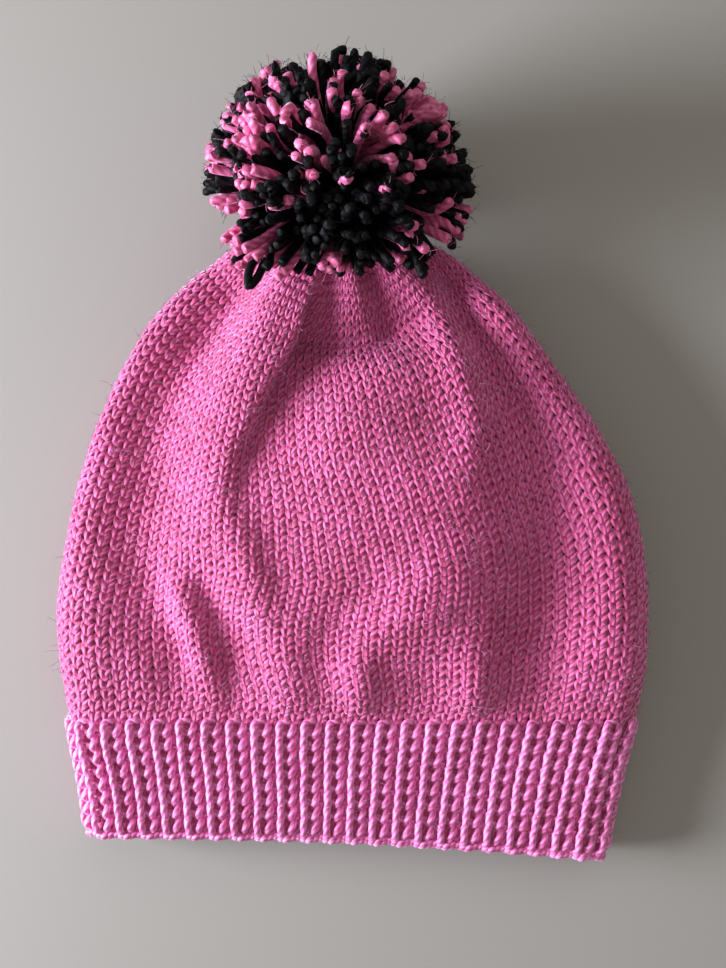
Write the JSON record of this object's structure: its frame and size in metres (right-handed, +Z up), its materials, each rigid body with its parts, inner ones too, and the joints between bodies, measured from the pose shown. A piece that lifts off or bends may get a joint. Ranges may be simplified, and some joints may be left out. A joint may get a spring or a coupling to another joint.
{
  "type": "pom pom beanie",
  "caption": "Hand-knitted hat with a ribbed brim, a gathered crown and a two-colour yarn pom-pom, lying flat.",
  "frame": {"origin": "on the table, under the middle of the hat's whole length and width", "axes": "+Z up from the table the hat lies on, +Y from the mouth to the pom-pom, +X to the right seen from above with the pom-pom at the top"},
  "size_m": [0.224, 0.287, 0.0935],
  "materials": {
    "pink_yarn": "knitted wool yarn, matte with a soft sheen",
    "black_yarn": "cut wool yarn, matte"
  },
  "bodies": {
    "hat": {"cast_on_edge": "pink_yarn", "ribbed_brim": "pink_yarn", "knit_body": "pink_yarn", "gathered_crown": "pink_yarn", "gather_yarn": "pink_yarn", "gather_knot": "pink_yarn"},
    "tail_knot": {"inside_knot": "pink_yarn"},
    "tails": {"left_tail": "pink_yarn", "right_tail": "pink_yarn"},
    "pompom": {"tie_yarn": "pink_yarn", "tie_knot": "pink_yarn", "pink_tuft_1": "pink_yarn", "black_tuft_1": "black_yarn", "pink_tuft_2": "pink_yarn", "black_tuft_2": "black_yarn", "pink_tuft_3": "pink_yarn", "black_tuft_3": "black_yarn", "pink_tuft_4": "pink_yarn", "black_tuft_4": "black_yarn", "pink_tuft_5": "pink_yarn", "black_tuft_5": "black_yarn", "pink_tuft_6": "pink_yarn", "black_tuft_6": "black_yarn", "uncut_black_loop": "black_yarn"}
  },
  "joints": [
    {"name": "pompom_swing", "type": "hinge", "parent": "hat", "child": "tail_knot", "pos_m": [-0.0055, 0.074, 0.0285], "axis": [0, 0, 1], "range_deg": [-15, 15]},
    {"name": "pompom_nod", "type": "hinge", "parent": "tail_knot", "child": "tails", "pos_m": [-0.0055, 0.074, 0.0285], "axis": [1, 0, 0], "range_deg": [-8, 25]},
    {"name": "pompom_twist", "type": "hinge", "parent": "tails", "child": "pompom", "pos_m": [-0.0055, 0.074, 0.0285], "axis": [0, 0.7826, 0.6225], "range_deg": [-15, 15]}
  ]
}
